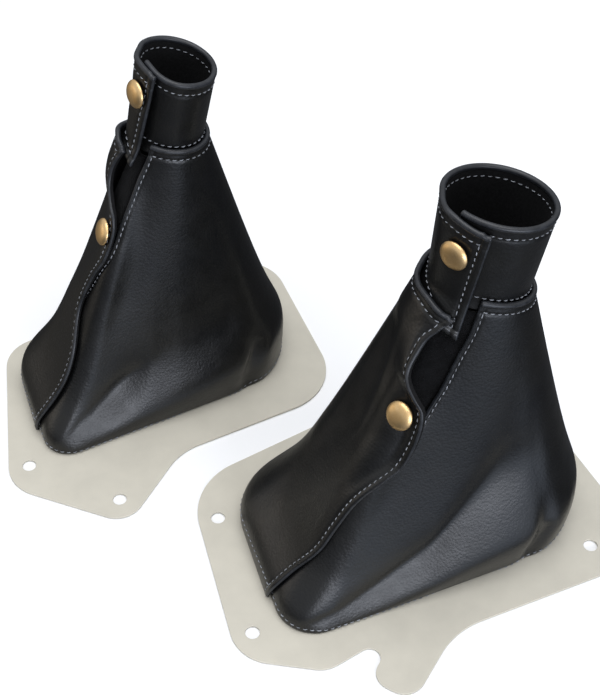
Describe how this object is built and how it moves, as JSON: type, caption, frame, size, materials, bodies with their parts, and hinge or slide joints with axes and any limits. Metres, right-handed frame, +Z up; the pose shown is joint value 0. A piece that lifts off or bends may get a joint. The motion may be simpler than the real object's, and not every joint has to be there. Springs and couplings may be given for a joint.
{
  "type": "pair of leather lever boots on base plates",
  "caption": "Pair of tapered leather lever boots with snap-closed collar tabs and wrap-over flaps, each on a thin drilled base plate.",
  "frame": {"origin": "middle of the pair's footprint, on the surface that both plates rest on", "axes": "+X along the wide boot's long side, towards the end that its collar leans to; +Y to the rear, from the wide boot towards the slim boot; +Z up"},
  "size_m": [0.2608, 0.2794, 0.1953],
  "materials": {
    "leather": "smooth black grain leather, semi-gloss",
    "suede": "black suede, matt and fuzzy",
    "snap_brass": "polished brass, lightly worn",
    "plate_plastic": "matt off-white sheet",
    "thread": "light grey twisted sewing thread"
  },
  "bodies": {
    "root": {"wide_plate": "plate_plastic", "wide_skirt": "leather", "wide_underlap": "suede", "wide_collar": "leather", "wide_tab_snap": "snap_brass", "wide_flap_snap": "snap_brass", "slim_plate": "plate_plastic", "slim_skirt": "leather", "slim_underlap": "suede", "slim_collar": "leather", "slim_tab_snap": "snap_brass", "slim_flap_snap": "snap_brass"}
  },
  "joints": []
}
